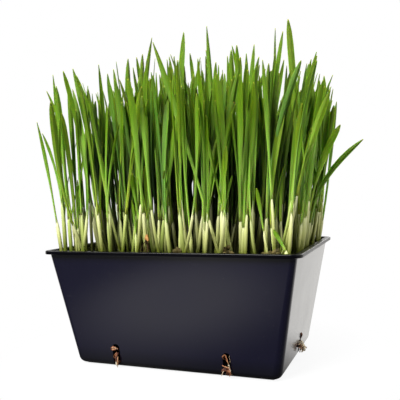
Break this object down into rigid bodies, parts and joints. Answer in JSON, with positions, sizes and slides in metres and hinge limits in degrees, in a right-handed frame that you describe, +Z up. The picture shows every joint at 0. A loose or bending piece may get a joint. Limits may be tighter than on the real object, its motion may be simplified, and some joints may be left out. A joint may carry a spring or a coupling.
{
  "type": "wheatgrass tray",
  "caption": "Flared rectangular seed tray filled with a dense stand of upright grass shoots, pale at the foot, with roots showing at its drain slots.",
  "frame": {"origin": "middle of the tray's underside", "axes": "+Z up, +X along the tray's long side, -Y out of the long side with the drain slots that faces the viewer"},
  "size_m": [0.2251, 0.1361, 0.242],
  "materials": {
    "black_plastic": "satin",
    "growing_medium": "matte",
    "sprouted_grain": "matte",
    "green_shoots": "satin",
    "roots": "matte",
    "grain_husk": "matte"
  },
  "bodies": {
    "root": {"seed_tray": "black_plastic", "growing_medium": "growing_medium", "grain_mat": "sprouted_grain", "shoots_1_1": "green_shoots", "shoots_1_2": "green_shoots", "shoots_1_3": "green_shoots", "shoots_1_4": "green_shoots", "shoots_1_5": "green_shoots", "shoots_1_6": "green_shoots", "shoots_2_1": "green_shoots", "shoots_2_2": "green_shoots", "shoots_2_3": "green_shoots", "shoots_2_4": "green_shoots", "shoots_2_5": "green_shoots", "shoots_2_6": "green_shoots", "shoots_3_1": "green_shoots", "shoots_3_2": "green_shoots", "shoots_3_3": "green_shoots", "shoots_3_4": "green_shoots", "shoots_3_5": "green_shoots", "shoots_3_6": "green_shoots", "shoots_4_1": "green_shoots", "shoots_4_2": "green_shoots", "shoots_4_3": "green_shoots", "shoots_4_4": "green_shoots", "shoots_4_5": "green_shoots", "shoots_4_6": "green_shoots", "shoots_5_1": "green_shoots", "shoots_5_2": "green_shoots", "shoots_5_3": "green_shoots", "shoots_5_4": "green_shoots", "shoots_5_5": "green_shoots", "shoots_5_6": "green_shoots", "shoots_6_1": "green_shoots", "shoots_6_2": "green_shoots", "shoots_6_3": "green_shoots", "shoots_6_4": "green_shoots", "shoots_6_5": "green_shoots", "shoots_6_6": "green_shoots", "shoots_7_1": "green_shoots", "shoots_7_2": "green_shoots", "shoots_7_3": "green_shoots", "shoots_7_4": "green_shoots", "shoots_7_5": "green_shoots", "shoots_7_6": "green_shoots", "shoots_8_1": "green_shoots", "shoots_8_2": "green_shoots", "shoots_8_3": "green_shoots", "shoots_8_4": "green_shoots", "shoots_8_5": "green_shoots", "shoots_8_6": "green_shoots", "roots_front_left": "roots", "roots_front_right": "roots", "roots_right_end": "roots", "roots_back_right": "roots", "roots_back_left": "roots", "roots_left_end": "roots", "lifted_grain": "grain_husk"}
  },
  "joints": []
}
